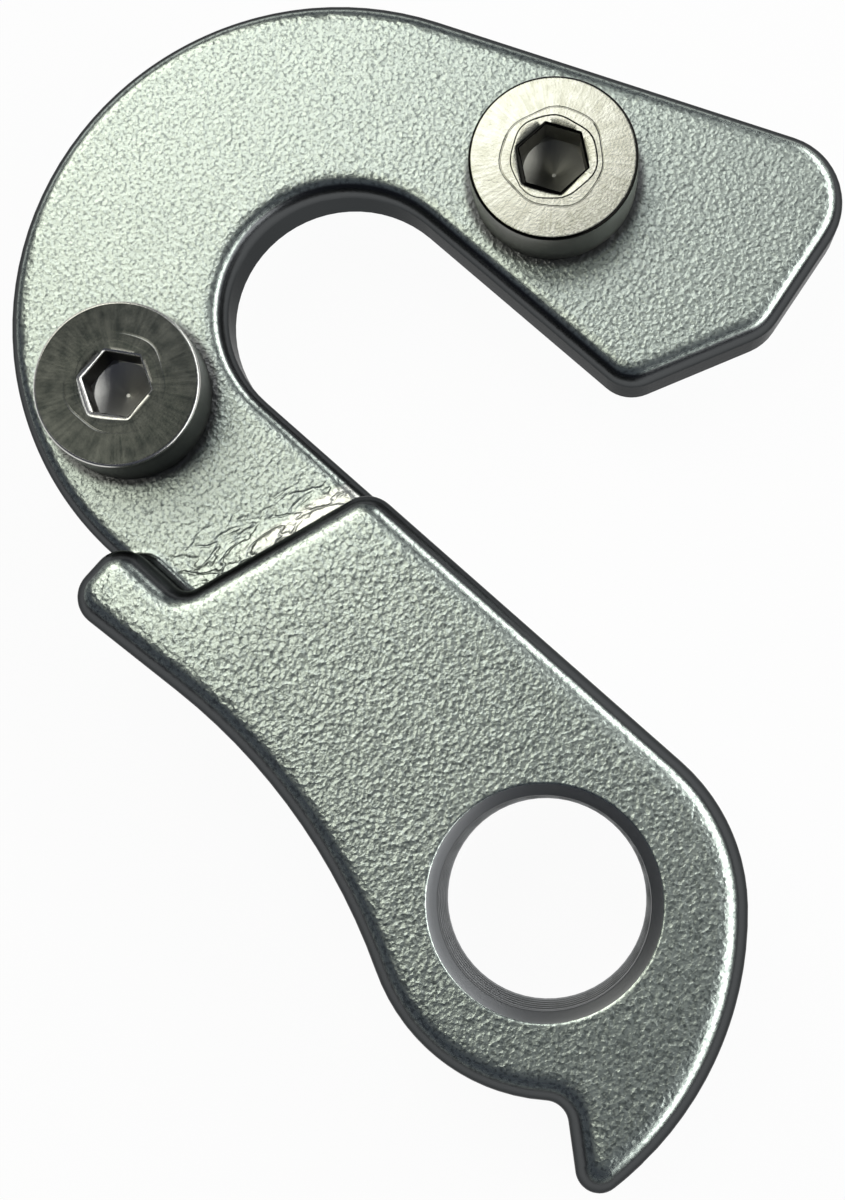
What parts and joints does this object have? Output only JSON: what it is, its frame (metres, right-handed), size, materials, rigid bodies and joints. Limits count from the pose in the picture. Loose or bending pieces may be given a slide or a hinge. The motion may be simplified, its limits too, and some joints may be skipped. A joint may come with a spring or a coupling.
{
  "type": "bicycle derailleur hanger",
  "caption": "Hooked aluminium rear derailleur hanger with an open axle slot, a stepped shoulder that locates in the dropout, a threaded bolt boss with a tail stop, and fixing screws.",
  "frame": {"origin": "on the axis of the derailleur bolt hole, in the plane of the plate's outboard face, which seats on the frame's dropout", "axes": "+X forward across the axle slot, +Y up along the axle slot from the bolt hole, +Z outboard along the bolt hole, away from the wheel"},
  "size_m": [0.0422, 0.0512, 0.0098],
  "materials": {
    "hanger_aluminium": "forged, bead blasted and clear anodised",
    "screw_steel": "turned heads"
  },
  "bodies": {
    "root": {"hanger_body": "hanger_aluminium", "arm_screw": "screw_steel", "hook_screw": "screw_steel"}
  },
  "joints": []
}
